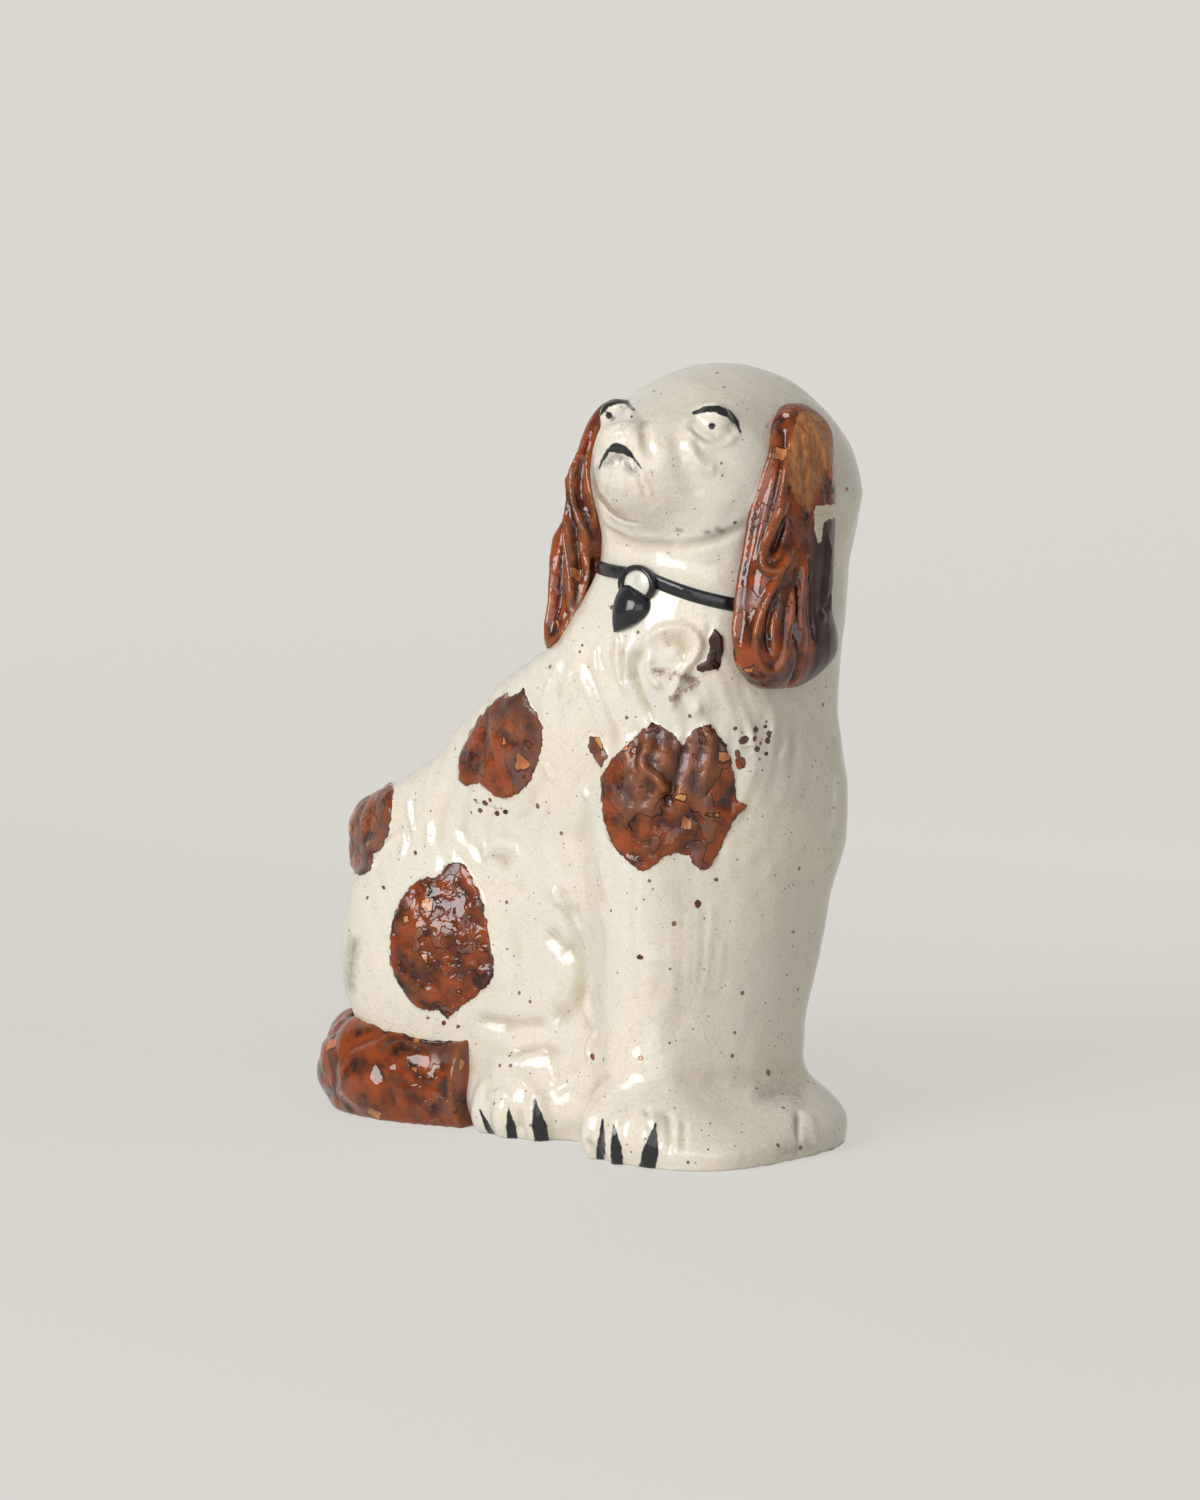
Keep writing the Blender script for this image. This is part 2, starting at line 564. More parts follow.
# Dots: radius, across, up
black_dots = ((1.0, 11.2, 213.2), (1.0, 40.1, 211.1), (0.35, 14.8, 211.6), (0.4, 17.4, 213.6))
brown_dots = (
    (0.75, 53.3, 123.6), (0.65, 55.8, 124.3), (0.85, 57.1, 122.4), (0.75, 56.6, 120.3),
    (0.45, 54.6, 119.8),
    (0.6, 52.9, 121.4), (1.2, 49.8, 120.9), (1.7, 48.7, 114.4), (0.6, 56.2, 117), (1.0, 47.7, 117.5),
    (0.8, 53.6, 118.3), (0.5, 51.5, 112.1), (0.5, 47.2, 124.4), (0.6, -28.2, 98.6), (0.7, -25, 98),
    (0.8, -21.6, 95.3), (0.6, -23.8, 99.1), (0.6, -19, 95.9), (0.5, -26.6, 95.6), (0.95, 36.5, 73.5),
    (0.6, 41.8, 80.6), (0.7, 19.9, 58.3), (0.55, 20.2, 29.4), (0.7, 6.5, 26.6), (0.6, 65.2, 62.8),
    (0.6, -42.5, 32.6), (0.7, -37.8, 31.4), (0.6, -33.4, 30.4), (0.5, -46.6, 81.2), (0.5, -56, 70.2),
)
# Kiln soot and wear: strength, half width, points
soot_smears = (
    (0.75, 3.2, ((10.6, 200.8), (13.2, 203), (16.2, 201), (17.4, 199))),
    (0.6, 2.2, ((7.6, 199), (7.4, 194))),
    (0.8, 1.3, ((30.4, 181.6), (31.6, 181.4))), (0.8, 1.2, ((38.4, 181), (39.4, 181))),
    (0.8, 1.7, ((41.6, 181.8), (43, 181.2))), (0.7, 4.2, ((-65.4, 53), (-66.4, 46.6), (-67, 38.4))),
    (0.62, 5.2, ((55, 17.2), (60.8, 16.8), (66.5, 15.4))), (0.45, 4.0, ((60, 3.5), (70, 3.5))),
    (0.5, 2.6, ((5.5, 6), (8, 3))), (0.4, 4.0, ((47.6, 164), (48.5, 158))),
    (0.5, 3.0, ((18.4, 214), (21, 212))),
)
# Brown specks thrown off the brush: strength, half width, points
brush_specks = (
    (0.95, 4.6, ((24.5, 141), (30, 140.6), (36, 138), (29, 133.4))),
    (0.7, 3.4, ((22.6, 199.4), (23.6, 196))),
    (0.8, 3.0, ((-28, 98.4), (-20, 96.6))), (0.7, 3.6, ((50, 118.4), (56, 120.4))),
    (0.7, 2.6, ((-44, 33.4), (-32, 30.6))), (0.6, 3.0, ((-55, 70.6), (-62, 70))),
)

# Ridges and grooves from the mould: height, half width, and points across the view and up
body_relief = (
    # lids, tear ridge, cheek and whisker pads
    (0.6, 1.9, ((32, 211.5), (34.5, 213.5), (38, 215), (42.5, 214), (46, 211.5), (47.5, 209))),
    (0.65, 1.9, ((33, 210), (35.5, 207), (38, 205.5), (41.5, 205), (45, 206.5), (47.5, 208.5))),
    (-0.5, 1.4, ((34, 210.5), (37, 207.5), (40.5, 206.5), (44.5, 208))),
    (0.6, 1.6, ((9, 213.5), (10.5, 216), (13.5, 217), (16.5, 215.5), (18, 214))),
    (0.55, 1.6, ((9, 210.5), (10.5, 210.5), (14, 211), (17, 212), (18.5, 213.5))),
    (0.8, 1.6, ((9.5, 209.5), (13, 208), (17, 210), (20.5, 212))),
    (1.1, 3.2, ((32.6, 208), (34, 203.6), (36, 200.4), (39, 199), (41.5, 199))),
    (-0.7, 4.5, ((30.5, 209.5), (30.5, 204.5), (32, 199.5), (34.5, 194.5), (36, 191))),
    (-0.8, 3, ((21, 209.5), (21.5, 205.5), (23, 203))),
    (-0.7, 1.5, ((11.5, 199), (10.5, 194), (11, 190))),
    (-0.6, 1.5, ((8.5, 188.5), (11, 185.5), (15, 183.5), (19, 183.5))),
    (0.45, 1.2, ((13, 201), (12.5, 196.5), (13, 193))),
    (0.45, 1.2, ((15, 201), (15, 196), (16, 192.5))),
    (0.45, 1.2, ((18, 200), (18.5, 195.5), (20, 192))),
    (0.35, 1.2, ((20, 198.5), (22, 194.5), (23, 191.5))),
    (-1, 3, ((11, 180), (15.5, 177.5), (23.5, 176.5), (34, 177), (43, 179), (49, 182.5))),
    (1, 4, ((10.5, 174), (20, 172), (34, 170), (45.5, 165.5))),
    # wavy locks below the collar
    (1, 1.8, ((7.5, 147), (7, 143.5), (8.5, 139.5))),
    (1.3, 1.9, ((13.5, 151.5), (14, 148), (13.5, 144), (14, 139.5), (16, 135.5))),
    (1.2, 1.7, ((16.5, 148), (17, 144), (16.5, 139))),
    (-1.2, 1.6, ((15, 147.5), (15, 143), (15.5, 137.5))),
    (-1.8, 2.4, ((20.5, 148), (18, 143.5), (18, 138), (21, 132), (23.5, 126.5))),
    (1.5, 2.2,
     ((22, 149.5), (24.5, 152.5), (29.5, 154), (34.5, 153.5), (37, 150), (36.5, 146.5), (33.5, 143),
      (30.5, 139.5), (29, 134))),
    (-1.4, 3.2, ((27, 148), (30, 149.5), (33, 148), (30.5, 145))),
    (1.3, 2, ((23, 145.5), (22, 142), (23.5, 138.5), (26, 136.5))),
    (1, 2, ((32.5, 141), (30.5, 136.5), (29, 131))),
    (1.6, 3, ((35.5, 131.5), (37, 129.5))),
    (1.4, 2.3, ((3, 140), (6, 134), (8.5, 128), (10.5, 121))),
    (1, 2.4, ((-2.5, 143.5), (-5, 136.5), (-7.5, 129.5))),
    (0.9, 2, ((0.5, 140.5), (-1, 134), (-3, 127))),
    (1, 2.2, ((-7, 111.5), (-5.5, 107.5))),
    (0.9, 2.2, ((3.5, 105), (5, 102.5))),
    (0.9, 2.4, ((49, 130), (51.5, 125), (52, 120))),
    (0.7, 1.4, ((63.5, 120.5), (62.5, 117), (60, 114.5))),
    (0.8, 2.4, ((58, 130), (59, 125.5), (57.5, 121))),
    (1.6, 2, ((23.5, 119.5), (20, 115.5), (21.5, 112.5), (25, 111.5), (28, 106))),
    (-1.7, 2.6, ((32.5, 120.5), (31.5, 114), (29, 106.5), (27, 102.5))),
    (1.3, 2.6, ((39, 124.5), (40.5, 119.5), (39, 113), (36.5, 106))),
    (-0.8, 3, ((25.5, 99), (30, 97), (35.5, 98.5))),
    # curls on the haunch, and the valley between haunch and foreleg
    (1.1, 1.8, ((-48.5, 97), (-48, 92), (-46.5, 86.5))),
    (0.9, 2, ((-42, 90.5), (-42.5, 83.5))),
    (1, 1.8, ((-25.5, 86), (-24.5, 81))),
    (1.0, 2.4, ((-25, 81), (-24, 84.5), (-20, 86.5), (-15.5, 85), (-14, 81.5), (-16, 76.5), (-21, 74))),
    (-0.8, 2.6, ((-22, 81), (-19.5, 81), (-19.5, 79))),
    (1, 3, ((-34.5, 87), (-30, 84), (-27.5, 78))),
    (0.9, 2, ((-50, 88), (-49, 83.5), (-51, 79))),
    (1.1, 3.5, ((-60, 74), (-56.5, 81.5), (-50, 85.5))),
    (1.2, 1.8, ((-4.5, 74.5), (-3.5, 69.5))),
    (1.1, 2.8, ((0, 67), (2, 62))),
    (-1.6, 4.5, ((-6.5, 62), (-3, 58), (-0.5, 55))),
    (-1.9, 6.5, ((-1.5, 71.5), (1, 57), (2, 50.5), (1.5, 43.5), (-2, 38), (-6.5, 35))),
    (1.5, 3.4, ((4, 41.5), (6.5, 37))),
    (-1.2, 3, ((-27.5, 33.5), (-18.5, 31.5), (-8, 34.5))),
    (1.2, 2.2, ((7.5, 33.5), (5, 28.5), (6, 25))),
    # paws and foot
    (-0.7, 2.4, ((-17, 23.5), (-12.5, 26.5), (-7.5, 26.5), (-2.5, 26))),
    (0.8, 2.4, ((-22, 21), (-17, 21), (-12.5, 23), (-8.5, 24))),
    (0.8, 2.6, ((-17.5, 19.5), (-12.5, 16.5), (-9.5, 12.5))),
    (0.6, 2.4, ((-24, 11.5), (-20.5, 14.5), (-17.5, 12))),
    (0.8, 2.4, ((-4.5, 14.5), (0, 18), (4.5, 21))),
    (-0.8, 2.6, ((2, 13), (6, 17.5), (11.5, 23.5))),
    (0.7, 2.4, ((8.5, 16.5), (12, 20), (16.5, 22.5))),
    (-0.9, 2.2, ((-15, 9.5), (-14.5, 3))),
    (-1, 1.8, ((21.5, 16.5), (22.5, 11.5))),
    (-0.9, 2.2, ((28, 15.5), (29, 9.5), (28, 4.5))),
    (-0.7, 2, ((32.5, 13.5), (32, 6))),
    (0.8, 2.5, ((68.5, 11), (70, 7.5), (70, 2))),
    # faint striations on the foreleg, and the seam
    (0.12, 1.8, ((28.5, 66.5), (29, 57.5), (29, 48))),
    (0.12, 1.8, ((36.5, 74.5), (37, 60), (35.5, 47.5))),
    (0.16, 1.8, ((40.5, 74), (40, 59.5), (38, 48))),
    (0.12, 1.8, ((44, 62.5), (43.5, 53.5), (42, 47))),
    (-0.15, 2.2, ((32.5, 75), (32.5, 60.5), (32, 46))),
    (-0.4, 2, ((19, 81), (17.5, 66.5), (20, 52))),
    (0.6, 2, ((77.5, 118.5), (78, 109), (77.5, 97), (76, 90.5))),
    (-1.5, 1.7, ((65.8, 12), (65.4, 9.6), (65.2, 6), (65.1, 0.8))),
)


def on_body(pairs):
    """Points on the body that are seen at those places across the view and up."""
    pairs = np.array(pairs, float)
    across, up = pairs.T
    start = np.stack([across * math.cos(view_turn), across * math.sin(view_turn), up], 1)
    near = np.array([math.sin(view_turn), -math.cos(view_turn), 0])
    steps = np.arange(110, -80, -0.5)
    row = start[:, None] + steps[None, :, None] * near
    inside = body_depth(*row.reshape(-1, 3).T).reshape(len(pairs), -1) < 0
    return start + steps[np.argmax(inside, 1)][:, None] * near


def fraction(points, flat):
    """Distance of each corner from a line across the view and up, and share along it."""
    return stroke_gap([(a, b, 0) for a, b in points], flat)


def within_box(corners):
    """Keeps corners inside the figurine's whole box."""
    low, high = (np.array(corner) * 1000 - np.array(bench_shift) for corner in cad_box)
    return np.clip(corners, low + (0.03, 0.03, 0), high - 0.03)


def rumpled(corners, size):
    """Smooth noise with lumps of that size at each corner, about -1 to 1."""
    return np.array([noise.noise(Vector(c)) for c in corners / size])


def creased(corners, size):
    """Lumps of that size with creases between them, from 0 in a crease to 1 on a lump."""
    gaps = np.array([noise.voronoi(Vector(c))[0][:2] for c in corners / size])
    return np.minimum(1.0, 2.2 * (gaps[:, 1] - gaps[:, 0]))


grid = 1.38
body_marks = [np.arange(-84, 96, grid),
              np.concatenate([np.arange(-54, -10, 1.1), np.arange(-10, 60, 1.7)]),
              np.arange(-1.95, 232, grid)]
corners, faces = sculpt(body_depth, body_marks)
blank = mesh_object("body_blank", corners, faces)

# the face, the toes, the painted edges and the finest relief are worked finer than the rest
fine = bmesh.new()
fine.from_mesh(blank.data)
shift = np.array(bench_shift)
middles = np.array([f.calc_center_median() for f in fine.faces]) * 1000 - shift
tilts = np.array([f.normal for f in fine.faces])
in_view, flat = view_facing(tilts) > 0, flattened(middles)
x, y, z = middles.T
wanted = ((x > 24) & (x < 88) & (y < -15) & (z > 180) & (z < 222)) | ((y < -28) & (z < 16) & (x > -24))
wanted |= np.abs(brown_gap(middles, tilts)) < 1.6
for radius, dot_u, dot_z in black_dots + brown_dots:
    wanted |= in_view & (np.hypot(flat[:, 0] - dot_u, flat[:, 1] - dot_z) < radius + 1)
for height, half_width, points in body_relief:
    if half_width < 2.3:
        wanted |= in_view & (fraction(points, flat)[0] < half_width)
chosen = [f for f, want in zip(fine.faces, wanted) if want]
bmesh.ops.subdivide_edges(fine, edges=list({e for f in chosen for e in f.edges}), cuts=1,
                          use_grid_fill=True)
fine.to_mesh(blank.data)
fine.free()
corners = settle(bench_corners(blank.data), body_depth)
outwards = outwards_from(body_depth, corners)
relief = [(height, half_width, on_body(points)) for height, half_width, points in body_relief]
corners = model(corners, outwards, relief, body_depth)
press = 0.55 * rumpled(corners, 16) + 0.2 * rumpled(corners, 6)
# combed hair: long waves that run down the coat, strongest on the chest
comb = np.stack([view_place(corners) / 3.4 + 1.1 * np.sin(corners[:, 2] / 11), corners[:, 2] / 17,
                 (corners[:, 1] - corners[:, 0]) / 30], 1)
hair = rumpled(comb, 1)
comb_marks = (0, 20, 34, 60, 84, 100, 120, 148, 158, 168)
hair *= np.interp(corners[:, 2], comb_marks, (0.0, 0.25, 0.3, 0.3, 0.5, 0.8, 0.95, 0.8, 0.3, 0.0))
hair *= np.where((view_place(corners) > 12) & (corners[:, 2] < 96), 0.35, 1)
hair *= np.where(outwards[:, 1] > 0, 0.4, 1)
upper = np.clip(corners[:, 2] / 4, 0, 1)
corners = corners + outwards * ((press + hair) * upper)[:, None]
gap = brown_gap(corners, outwards)
coat = np.clip(0.4 - gap / 1.1, 0, 1) * upper
thick = np.flatnonzero(coat > 0)
blister = creased(corners[thick], 10) * 0.6 + creased(corners[thick] + 40, 4) * 0.22
lump = rumpled(corners[thick] + (35, 15, 5), 5)
corners[thick] += outwards[thick] * (coat[thick] * (0.4 + 0.55 * blister + 0.6 * lump))[:, None]
blank.data.vertices.foreach_set("co", ((within_box(corners) + shift) / 1000).ravel())
blank.data.update()

cavity_corners, cavity_faces = sculpt(
    lambda x, y, z: np.maximum(cavity_depth(x, y, z), -z - wall),
    [np.arange(low, high, 4.0) for low, high in ((-84, 96), (-54, 60), (-10, 232))])
hollow = mesh_object("hollow", cavity_corners, cavity_faces)
bore = bpy.data.meshes.new("vent_bore")
bore_mesh = bmesh.new()
bmesh.ops.create_cone(bore_mesh, cap_ends=True, segments=32, radius1=vent_radius / 1000,
                      radius2=vent_radius / 1000, depth=0.08)
bore_mesh.to_mesh(bore)
bore_mesh.free()
vent_bore = object_of("vent_bore", bore)
bore.transform(Matrix.Translation((Vector((vent_x, seam_y + 50, vent_height)) + bench_shift) / 1000)
               @ Matrix.Rotation(math.pi / 2, 4, "X"))
for tool in (hollow, vent_bore):
    cut = blank.modifiers.new(tool.name, "BOOLEAN")
    cut.operation, cut.solver, cut.object = "DIFFERENCE", "MANIFOLD", tool
bpy.context.view_layer.update()
body_mesh = bpy.data.meshes.new_from_object(blank.evaluated_get(bpy.context.evaluated_depsgraph_get()))
body_mesh.name = "glazed_body"
for spare in (blank, hollow, vent_bore):
    bpy.data.objects.remove(spare)
glazed_body = object_of("glazed_body", body_mesh)

# paint and soot, as distances in millimetres or shares that the glaze reads
corners, normals = bench_corners(body_mesh), corner_normals(body_mesh)
flat, facing = flattened(corners), view_facing(normals)
turned_away = 60 * np.maximum(0.02 - facing, 0)


def dots_gap(dots):
    gap = np.full(len(corners), 30.0)
    for radius, across, up in dots:
        gap = np.minimum(gap, np.hypot(flat[:, 0] - across, flat[:, 1] - up) - radius)
    return gap + turned_away


def smears(strokes):
    share = np.zeros(len(corners))
    for strength, half_width, points in strokes:
        near = np.clip(1 - fraction(points, flat)[0] / half_width, 0, 1)
        share = np.maximum(share, strength * near * (facing > 0))
    return share


black = dots_gap(black_dots)
for half_width, points in black_strokes:
    gap, share = fraction(points, flat)
    narrow = 0.3 + 0.7 * np.sin(np.pi * np.clip(share, 0.05, 0.95))
    black = np.minimum(black, gap - half_width * narrow + turned_away)
for half_width, top, foot in claws:
    gap, share = fraction((top, foot), flat)
    black = np.minimum(black, gap - half_width * np.minimum(0.12 + 1.5 * share, 1) + turned_away)
dull_left = np.interp(corners[:, 2], (50, 72, 80, 112, 124), (-0.5, -0.3, 0.2, -0.4, 0.5))
dull_chest = np.interp(corners[:, 2], (92, 112, 122, 136), (-0.4, 0.15, 0.4, 1.0))
dull = np.where(flat[:, 0] < -20, dull_left, dull_chest)
brown = np.minimum(brown_gap(corners, normals), dots_gap(brown_dots))
store(body_mesh, brown=brown, black=black, dull=dull, soot=smears(soot_smears),
      specks=smears(brush_specks), hollow=hollows(body_mesh))

# Cream lead glaze on earthenware, dipped and fired: a glassy coat with soft highlights
cream_glaze, tree, place = start_material("cream_lead_glaze")
colour, tone, peel = glaze_patterns(tree, place)
sunk = add(tree, "Attribute", attribute_name="hollow").outputs["Fac"]
colour = tinted(tree, colour, sunk, 0.02, 0.34, linear("A39778"), 0.75)
worn = add(tree, "TexNoise", {"Vector": place, "Scale": per_mm / 2.2, "Detail": 5.0,
           "Roughness": 0.75})
soot = add(tree, "Attribute", attribute_name="soot").outputs["Fac"]
soot = add(tree, "Math", (soot, worn), operation="MULTIPLY")
colour = tinted(tree, colour, soot, 0.1, 0.55, linear("5A5A52"))
flecks = add(tree, "Attribute", attribute_name="specks").outputs["Fac"]
flecks = add(tree, "Math", (flecks, worn), operation="MULTIPLY")
colour = tinted(tree, colour, flecks, 0.33, 0.45, linear("6E3C20"), 0.7)
wobble = add(tree, "TexNoise", {"Vector": place, "Scale": per_mm / 2.2, "Detail": 3.0})
patch_gap = add(tree, "Attribute", attribute_name="brown").outputs["Fac"]
ragged = add(tree, "Math", (wobble, -0.5), operation="ADD")
edge = add(tree, "Math", (ragged, 2.0, patch_gap), operation="MULTIPLY_ADD")
brown_mask = add(tree, "MapRange", {"Value": edge, "From Min": 0.1, "From Max": -0.1})
brown_colour, brown_rough, brown_height = brown_glaze(tree, place)
colour = add(tree, "Mix", {0: brown_mask, 6: colour, 7: brown_colour}, data_type="RGBA")
stroke = add(tree, "Attribute", attribute_name="black").outputs["Fac"]
stroke = add(tree, "Math", (ragged, 0.9, stroke), operation="MULTIPLY_ADD")
ink = add(tree, "Mix", {0: worn, 6: linear("0A0A0B"), 7: linear("2A2A2D")}, data_type="RGBA")
colour = tinted(tree, colour, stroke, 0.16, -0.16, ink)
gloss = add(tree, "MapRange", {"Value": tone, "To Min": 0.2, "To Max": 0.12})
gloss = add(tree, "Mix", {0: brown_mask, 2: gloss, 3: brown_rough}, data_type="FLOAT")
skin_bump = add(tree, "Bump", {"Height": peel, "Strength": 0.4, "Distance": 0.0007})
height = add(tree, "Math", (brown_height, brown_mask), operation="MULTIPLY")
bump = add(tree, "Bump", {"Height": height, "Strength": 1.0, "Distance": 0.0015,
           "Normal": skin_bump})
finish_material(tree, colour, gloss, bump)
body_mesh.materials.clear()
body_mesh.materials.append(cream_glaze)
smooth(body_mesh)
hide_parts("front_shell", "back_shell")
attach(glazed_body, "root")

# ---- Ears --------------------------------------------------------------------------------------
# Two flaps of curling locks, pressed in small moulds and luted beside the cheeks, then covered in
# brown glaze that runs thin and tan at the top, with one corner that the brush missed.
ear_mirror_x = 52.5
ear_outlines = (
    (136, 82, 90, -18, -2, 2.8), (141, 80, 94, -25, 7, 2.8), (160, 80, 95, -26, 9, 2.8),
    (180, 80, 95, -21, 10, 2.8), (200, 80, 94, -15, 10, 2.8), (212, 80, 92, -9, 8, 2.8),
    (217, 81, 88, -5, 3, 2.8),
)
ear_relief = {
    "left_ear": (
        (2.0, 2.2, ((85, -10, 211), (88, -17, 204), (85, -17, 194), (84, -19, 183), (84, -23, 171),
                    (84, -25, 161), (85, -27, 151), (87, -26, 143))),
        (-1.5, 1.4, ((89, -12, 210), (92, -17, 202), (90, -18, 190), (89, -20, 182), (88, -22, 173))),
        (1.7, 1.8, ((93, -16, 204), (94, -17, 196), (92, -18, 188), (90, -20, 180), (89, -22, 175))),
        (2.1, 1.7, ((95, -17, 191), (93, -18, 186), (91, -20, 180), (89, -22, 174), (91, -23, 170),
                    (94, -21, 170), (96, -18, 172), (96, -16, 176))),
        (-1.7, 1.6, ((94, -17, 185), (93, -19, 179), (92, -21, 175))),
        (2.1, 1.8, ((96, -20, 170), (94, -24, 165), (92, -28, 156), (92, -29, 150), (91, -25, 143),
                    (93, -21, 142), (94, -19, 147), (95, -17, 156), (95, -15, 165))),
        (-1.8, 1.8, ((96, -21, 164), (96, -25, 158), (95, -26, 151), (94, -24, 147))),
        (-2.2, 1.8, ((95, -13, 170), (95, -14, 159), (95, -14, 148), (94, -12, 140), (92, -11, 136.5))),
        (1.5, 2.4, ((95, -10, 173), (96, -12, 162), (95, -12, 148))),
        (1.4, 1.8, ((83, -8, 213), (87, -7, 215), (92, -4, 211), (94, 1, 204), (96, 4, 195))),
        (-0.9, 2.0, ((92, -8, 210), (94, -9, 201), (94, -8, 190))),
        (-1.5, 1.6, ((96, -7, 173), (95, -6, 161), (95, -6, 150))),
        (1.4, 2.0, ((95, 2, 178), (95, 1, 167), (96, -1, 156))),
        (-1.5, 2.0, ((95, 8, 163), (95, 3, 159), (95, -2, 158))),
    ),
    "right_ear": (
        (2.0, 2.0, ((20, -13, 209), (19, -15, 202), (21, -17, 194), (23, -17, 186), (24, -17, 179))),
        (-1.7, 1.5, ((18, -14, 209), (18, -16, 202), (17, -17, 194), (20, -19, 186))),
        (2.0, 1.8, ((17, -16, 205), (15, -18, 196), (17, -19, 188), (21, -20, 181), (23, -19, 175))),
        (2.0, 1.8, ((14, -18, 199), (13, -18, 188), (17, -22, 176), (21, -24, 166), (21, -25, 156))),
        (-1.8, 1.5, ((18, -20, 182), (21, -22, 174), (23, -22, 165))),
        (1.8, 1.8, ((23, -20, 172), (24, -21, 165), (24, -24, 157), (22, -26, 148))),
        (1.8, 1.8, ((12, -18, 180), (13, -22, 170), (16, -27, 159), (15, -28, 148))),
        (-1.8, 1.6, ((13, -18, 192), (14, -22, 178), (17, -25, 166), (18, -28, 154))),
    ),
}
# where the glaze is thin, missed and dull on the outer side of the left ear: along it and up
thin_outline = ((-10.8, 213), (-7.4, 216), (-3.6, 217), (2.4, 213), (6.5, 206), (9, 196), (6, 193),
                (1.5, 198), (-1.5, 194), (-4.8, 190), (-7.1, 187), (-12, 190), (-15.2, 196.2),
                (-15.6, 203.8), (-11.5, 210.6))
missed_outline = ((-4.8, 188.2), (14, 188.2), (14, 184.4), (1.5, 184.2), (-0.8, 183), (-1.6, 178.6),
                  (-3.4, 177.4), (-4.9, 181), (-5.2, 186))


def ear_depth(side):
    def depth(x, y, z):
        out = x if side > 0 else 2 * ear_mirror_x - x
        flap = column(ear_outlines, out, y, z)
        ends = np.maximum(z - ear_outlines[-1][0], ear_outlines[0][0] - z)
        flap = -merge(-flap, -ends, 3)
        return np.maximum(flap, -(body_depth(x, y, z) + 0.6))
    return depth


brown_treacle, tree, place = start_material("brown_treacle_glaze")
colour, rough, height = brown_glaze(tree, place)
# thin glaze at the top: tan clay shows through in streaks that run down the ear
fall = add(tree, "Mapping", {"Vector": place, "Scale": (1.0, 1.0, 0.45)})
run_off = add(tree, "TexNoise", {"Vector": fall, "Scale": per_mm / 1.6, "Detail": 5.0,
              "Roughness": 0.7})
gap = add(tree, "Attribute", attribute_name="thin").outputs["Fac"]
gap = add(tree, "Math", (run_off, 11.0, gap), operation="MULTIPLY_ADD")
share = add(tree, "MapRange", {"Value": run_off, "From Min": 0.32, "From Max": 0.62})
tan = add(tree, "Mix", {0: share, 6: linear("7C4220"), 7: linear("AE7648")}, data_type="RGBA")
colour = tinted(tree, colour, gap, 6.2, 5.0, tan, 0.95)
missed = add(tree, "Attribute", attribute_name="missed").outputs["Fac"]
wobble = add(tree, "TexNoise", {"Vector": place, "Scale": per_mm / 1.5})
missed = add(tree, "Math", (wobble, 1.6, missed), operation="MULTIPLY_ADD")
colour = tinted(tree, colour, missed, 0.9, 0.7, linear("C6BFA8"))
bump = add(tree, "Bump", {"Height": height, "Strength": 0.8, "Distance": 0.0007})
finish_material(tree, colour, rough, bump)

for name, side in (("left_ear", 1), ("right_ear", -1)):
    span = (78, 99) if side > 0 else (6, 28)
    depth = ear_depth(side)
    corners, faces = sculpt(depth, [np.arange(span[0], span[1], 0.7), np.arange(-30, 14, 0.7),
                                    np.arange(133, 221, 0.75)], 1)
    away = outwards_from(depth, corners)
    corners = model(corners, away, ear_relief[name], depth)
    lumps = rumpled(corners, (5, 4, 9))
    corners = within_box(corners + away * (0.3 * lumps)[:, None])
    ear_made = mesh_object("glazed_" + name, corners, faces, brown_treacle)
    x, y, z = corners.T
    if side > 0:
        thin = outline_gap(thin_outline, y, z) + 14 * np.clip(0.75 - away[:, 0], 0, 2)
        missed = outline_gap(missed_outline, y, z) + 20 * (away[:, 0] < 0)
        dull = np.clip((y + 9) / 4, 0, 1) * np.clip((188 - z) / 5, 0.3, 1)
        front_foot = np.clip((-22 - y) / 2, 0, 1) * np.clip((168 - z) / 8, 0, 1)
        dull = np.maximum(dull, 0.3 * front_foot)
    else:
        thin, missed = np.full((2, len(corners)), 30.0)
        dull = 0.5 * np.clip((168 - z) / 10, 0, 1) * np.clip((x - 18) / 4, 0, 1)
    dull = 1.5 * dull - 0.5
    store(ear_made.data, thin=thin, missed=missed, dull=dull, hollow=hollows(ear_made.data))
    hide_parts(name)
    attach(ear_made, "root")

# ---- Tail --------------------------------------------------------------------------------------
# A thick curl of clay round the corner of the foot, modelled with lumpy hair and glazed brown.
tail_lift = 12.5
# x, y, heading, half thickness, half height along the curl
tail_run = np.array(((-70, 14, 100, 10, 12), (-74, -5, 80, 13, 16), (-63, -24, 45, 14, 17),
                     (-41, -31, 5, 14, 16.5), (-13, -28, 0, 11.5, 15)), float)
steps = np.linspace(0, len(tail_run) - 1, 49)
sizes = np.stack([np.interp(steps, range(len(tail_run)), tail_run[:, k]) for k in (3, 4)], 1)
headings = np.radians(tail_run[:, 2])
tangents = np.stack([np.cos(headings), -np.sin(headings)], 1)
before = np.minimum(steps.astype(int), len(tail_run) - 2)
t = (steps - before)[:, None]
gaps = np.linalg.norm(tail_run[before + 1, :2] - tail_run[before, :2], axis=1)[:, None]
curl = between(tail_run[before, :2], tail_run[before + 1, :2], tangents[before],
               tangents[before + 1], t, gaps)


